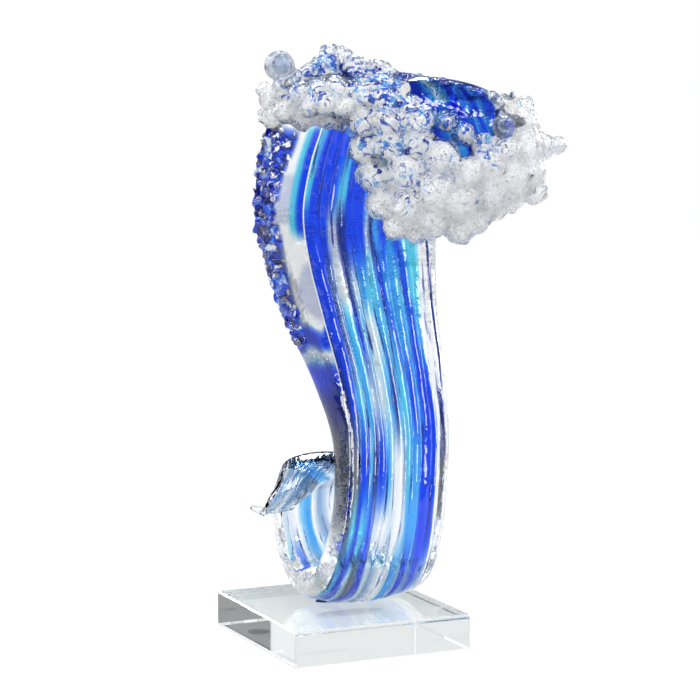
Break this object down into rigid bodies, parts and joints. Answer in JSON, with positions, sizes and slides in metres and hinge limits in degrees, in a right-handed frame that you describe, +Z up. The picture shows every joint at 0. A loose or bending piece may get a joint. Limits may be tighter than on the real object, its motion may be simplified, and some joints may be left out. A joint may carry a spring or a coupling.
{
  "type": "glass wave sculpture",
  "caption": "A breaking wave in reeded clear, azure and cobalt glass that curls at its foot and ends in a crest of crushed glass, on a clear square plate.",
  "frame": {"origin": "centre of the plate's underside, on the surface it stands on", "axes": "+X runs along the plate's front edge to the right, +Y points to the back, +Z points up"},
  "size_m": [0.151, 0.1282, 0.316],
  "materials": {
    "plate_crystal": "optically clear, polished, bevelled edges",
    "adhesive": "clear, cured",
    "clear_glass": "fire polished, clear",
    "cobalt_glass": "fire polished, deep cobalt",
    "navy_glass": "fire polished, dark blue with seed bubbles",
    "azure_glass": "fire polished, azure",
    "turquoise_glass": "fire polished, turquoise",
    "crushed_glass": "crushed and melted lumps, clear with white and blue flecks",
    "lip_glass": "fire polished, blue"
  },
  "bodies": {
    "root": {"base_plate": "plate_crystal", "bond_film": "adhesive", "crest_drop_left": "clear_glass", "crest_drop_middle": "clear_glass", "crest_drop_right": "clear_glass", "crest_foam_crown": "crushed_glass", "crest_foam_curtain": "crushed_glass", "crest_foam_left": "crushed_glass", "crest_foam_right": "crushed_glass", "crest_lip": "lip_glass", "crest_point_low": "clear_glass", "crest_point_right": "clear_glass", "crest_point_top": "clear_glass", "curl_tip": "clear_glass", "curl_tongue": "clear_glass", "edge_beads": "clear_glass", "edge_cane": "cobalt_glass", "edge_chips": "cobalt_glass", "foot_curl": "clear_glass", "reed_01_cobalt": "cobalt_glass", "reed_02_navy": "navy_glass", "reed_03_azure": "azure_glass", "reed_04_clear": "clear_glass", "reed_05_azure": "azure_glass", "reed_06_clear": "clear_glass", "reed_07_azure": "azure_glass", "reed_08_turquoise": "turquoise_glass", "reed_09_cobalt": "cobalt_glass", "reed_10_azure": "azure_glass", "reed_11_clear": "clear_glass", "wave_core": "clear_glass"}
  },
  "joints": []
}
